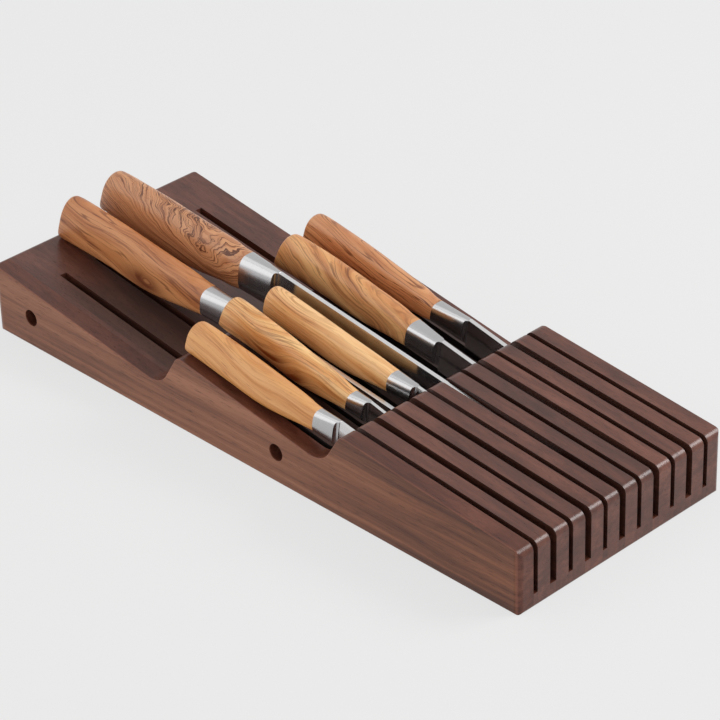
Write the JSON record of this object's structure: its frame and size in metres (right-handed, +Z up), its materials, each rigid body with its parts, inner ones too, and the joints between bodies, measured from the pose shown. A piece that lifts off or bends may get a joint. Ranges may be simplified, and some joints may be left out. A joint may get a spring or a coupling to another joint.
{
  "type": "knife block with knives",
  "caption": "Low stepped wooden in-drawer knife block with parallel blade slots open at the front, holding knives with oval wooden handles and steel collars.",
  "frame": {"origin": "centre of the block's base, on the surface it stands on", "axes": "+X towards the slotted front end where the tips lie, +Z up, -Y the side with the two joining sockets"},
  "size_m": [0.4, 0.15, 0.0781],
  "materials": {
    "walnut_a": "satin oiled dark walnut, warm tone",
    "walnut_b": "satin oiled dark walnut, grey tone",
    "walnut_c": "satin oiled dark walnut, red tone",
    "strip_walnut": "satin oiled dark walnut",
    "olive_wood": "satin oiled olive wood",
    "burl_olive": "satin oiled figured olive wood",
    "bolster_steel": "satin brushed round the collar",
    "blade_steel": "fine satin"
  },
  "bodies": {
    "block": {"stave_01": "walnut_a", "stave_02": "walnut_b", "stave_03": "walnut_c", "stave_04": "walnut_a", "stave_05": "walnut_c", "stave_06": "walnut_b", "stave_07": "walnut_a", "stave_08": "walnut_c", "stave_09": "walnut_b", "stave_10": "walnut_a", "stave_11": "walnut_b", "stave_12": "walnut_c", "slot_strip_01": "strip_walnut", "slot_strip_02": "strip_walnut", "slot_strip_03": "strip_walnut", "slot_strip_04": "strip_walnut", "slot_strip_05": "strip_walnut", "slot_strip_06": "strip_walnut", "slot_strip_07": "strip_walnut", "slot_strip_08": "strip_walnut", "slot_strip_09": "strip_walnut", "slot_strip_10": "strip_walnut", "slot_strip_11": "strip_walnut"},
    "paring_knife": {"paring_handle": "olive_wood", "paring_bolster": "bolster_steel", "paring_blade": "blade_steel"},
    "steak_knife": {"steak_handle": "olive_wood", "steak_bolster": "bolster_steel", "steak_blade": "blade_steel"},
    "slicer_knife": {"slicer_handle": "olive_wood", "slicer_bolster": "bolster_steel", "slicer_blade": "blade_steel"},
    "utility_knife": {"utility_handle": "olive_wood", "utility_bolster": "bolster_steel", "utility_blade": "blade_steel"},
    "chef_knife": {"chef_handle": "burl_olive", "chef_bolster": "bolster_steel", "chef_blade": "blade_steel"},
    "santoku_knife": {"santoku_handle": "olive_wood", "santoku_bolster": "bolster_steel", "santoku_blade": "blade_steel"},
    "boning_knife": {"boning_handle": "olive_wood", "boning_bolster": "bolster_steel", "boning_blade": "blade_steel"}
  },
  "joints": [
    {"name": "paring_lift", "type": "slide", "parent": "block", "child": "paring_knife", "axis": [0, 0, 1], "range_m": [0, 0.06]},
    {"name": "steak_lift", "type": "slide", "parent": "block", "child": "steak_knife", "axis": [0, 0, 1], "range_m": [0, 0.06]},
    {"name": "slicer_lift", "type": "slide", "parent": "block", "child": "slicer_knife", "axis": [0, 0, 1], "range_m": [0, 0.06]},
    {"name": "utility_lift", "type": "slide", "parent": "block", "child": "utility_knife", "axis": [0, 0, 1], "range_m": [0, 0.06]},
    {"name": "chef_lift", "type": "slide", "parent": "block", "child": "chef_knife", "axis": [0, 0, 1], "range_m": [0, 0.06]},
    {"name": "santoku_lift", "type": "slide", "parent": "block", "child": "santoku_knife", "axis": [0, 0, 1], "range_m": [0, 0.06]},
    {"name": "boning_lift", "type": "slide", "parent": "block", "child": "boning_knife", "axis": [0, 0, 1], "range_m": [0, 0.06]}
  ]
}
